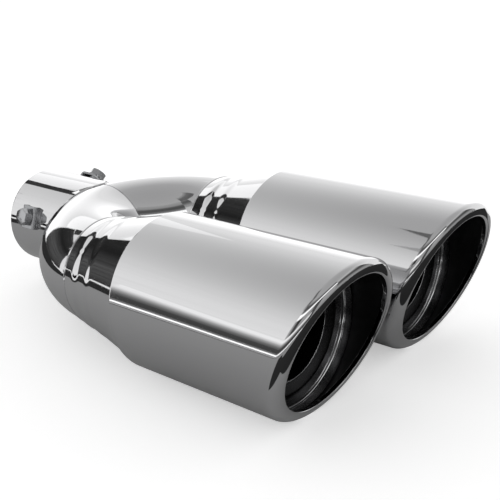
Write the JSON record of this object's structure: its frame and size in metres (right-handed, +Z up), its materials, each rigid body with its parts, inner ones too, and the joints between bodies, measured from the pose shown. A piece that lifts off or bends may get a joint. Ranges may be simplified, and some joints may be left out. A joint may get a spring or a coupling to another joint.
{
  "type": "exhaust tip",
  "caption": "Slip-on exhaust tip: a clamp-on inlet sleeve splits through mitred bends and beaded cones into twin slash-cut outlets with rolled rims.",
  "frame": {"origin": "centre of the inlet sleeve's mouth, where the tailpipe enters", "axes": "+Y along the inlet axis towards the tailpipe, outlets towards -Y, +Z up, left outlet at -X"},
  "size_m": [0.187, 0.3059, 0.0888],
  "materials": {
    "polished_steel": "mirror-polished stainless steel",
    "inner_steel": "dull stainless steel, darkened inside the outlet",
    "hardware_steel": "bright plated steel"
  },
  "bodies": {
    "root": {"inlet_sleeve": "polished_steel", "bend_left": "polished_steel", "bend_right": "polished_steel", "neck_cone_left": "polished_steel", "neck_cone_right": "polished_steel", "outlet_shell_left": "polished_steel", "outlet_shell_right": "polished_steel", "gas_pipe_left": "inner_steel", "gas_pipe_right": "inner_steel", "end_ring_left": "inner_steel", "end_ring_right": "inner_steel", "clamp_bracket_1": "polished_steel", "clamp_bracket_2": "polished_steel", "clamp_bracket_3": "polished_steel", "spring_washer_1": "hardware_steel", "spring_washer_2": "hardware_steel", "spring_washer_3": "hardware_steel", "set_bolt_1": "hardware_steel", "set_bolt_2": "hardware_steel", "set_bolt_3": "hardware_steel"}
  },
  "joints": []
}
